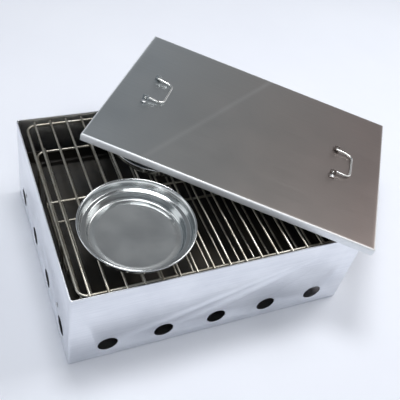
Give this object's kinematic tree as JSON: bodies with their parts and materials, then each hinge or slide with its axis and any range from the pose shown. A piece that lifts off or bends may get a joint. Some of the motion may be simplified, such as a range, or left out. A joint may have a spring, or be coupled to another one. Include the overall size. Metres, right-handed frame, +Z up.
{
  "type": "portable smoker",
  "caption": "Portable stainless tabletop smoker: vented base box with smoke pan, drip tray, wire racks, spirit-burner dishes and a lift-off lid with wire bails.",
  "frame": {"origin": "centre of the base box's underside, on the surface it stands on", "axes": "+X along the base's long walls towards the right, +Y from the near long wall to the far one, +Z up"},
  "size_m": [0.5716, 0.4932, 0.191],
  "materials": {
    "base_steel": "bright rolled stainless sheet, satin",
    "lid_steel": "satin stainless sheet",
    "dark_pan": "smoke-darkened non-stick coating",
    "rack_wire": "plated steel wire, smoke-tinted",
    "dish_steel": "bright pressed stainless",
    "bail_wire": "bright wire",
    "rivet_metal": "plain blind rivets"
  },
  "bodies": {
    "base": {"base_shell": "base_steel", "ledge_left": "base_steel", "ledge_left_rivet_far": "rivet_metal", "ledge_left_rivet_near": "rivet_metal", "ledge_right": "base_steel", "ledge_right_rivet_far": "rivet_metal", "ledge_right_rivet_near": "rivet_metal"},
    "smoke_pan": {"smoke_pan": "dark_pan"},
    "drip_tray": {"drip_tray": "dark_pan"},
    "lower_rack": {"lower_rack": "rack_wire", "lower_rack_leg_left": "rack_wire", "lower_rack_leg_right": "rack_wire"},
    "upper_rack": {"upper_rack": "rack_wire", "upper_rack_leg_left": "rack_wire", "upper_rack_leg_right": "rack_wire"},
    "burner_dish_a": {"burner_dish_a": "dish_steel"},
    "burner_dish_b": {"burner_dish_b": "dish_steel"},
    "lid": {"left_lug_far": "lid_steel", "left_lug_far_rivet": "rivet_metal", "left_lug_near": "lid_steel", "left_lug_near_rivet": "rivet_metal", "lid_panel": "lid_steel", "right_lug_far": "lid_steel", "right_lug_far_rivet": "rivet_metal", "right_lug_near": "lid_steel", "right_lug_near_rivet": "rivet_metal"},
    "left_bail": {"left_bail": "bail_wire"},
    "right_bail": {"right_bail": "bail_wire"}
  },
  "joints": [
    {"name": "pan_lift", "type": "slide", "parent": "base", "child": "smoke_pan", "axis": [0, 0, 1], "range_m": [0, 0.12]},
    {"name": "drip_tray_lift", "type": "slide", "parent": "smoke_pan", "child": "drip_tray", "axis": [0, 0, 1], "range_m": [0, 0.1]},
    {"name": "lower_rack_lift", "type": "slide", "parent": "drip_tray", "child": "lower_rack", "axis": [0, 0, 1], "range_m": [0, 0.1]},
    {"name": "upper_rack_lift", "type": "slide", "parent": "lower_rack", "child": "upper_rack", "axis": [0, 0, 1], "range_m": [0, 0.1]},
    {"name": "dish_a_lift", "type": "slide", "parent": "upper_rack", "child": "burner_dish_a", "axis": [0, 0, 1], "range_m": [0, 0.08]},
    {"name": "dish_b_lift", "type": "slide", "parent": "upper_rack", "child": "burner_dish_b", "axis": [0, 0, 1], "range_m": [0, 0.08]},
    {"name": "lid_lift", "type": "slide", "parent": "burner_dish_b", "child": "lid", "axis": [0, 0, 1], "range_m": [0, 0.1]},
    {"name": "left_bail_turn", "type": "hinge", "parent": "lid", "child": "left_bail", "pos_m": [-0.00398, 0.15421, 0.17528], "axis": [-0.6066, -0.7877, 0.1077], "range_deg": [0, 168]},
    {"name": "right_bail_turn", "type": "hinge", "parent": "lid", "child": "right_bail", "pos_m": [0.22035, -0.02169, 0.15234], "axis": [-0.6066, -0.7877, 0.1077], "range_deg": [0, 168]}
  ]
}
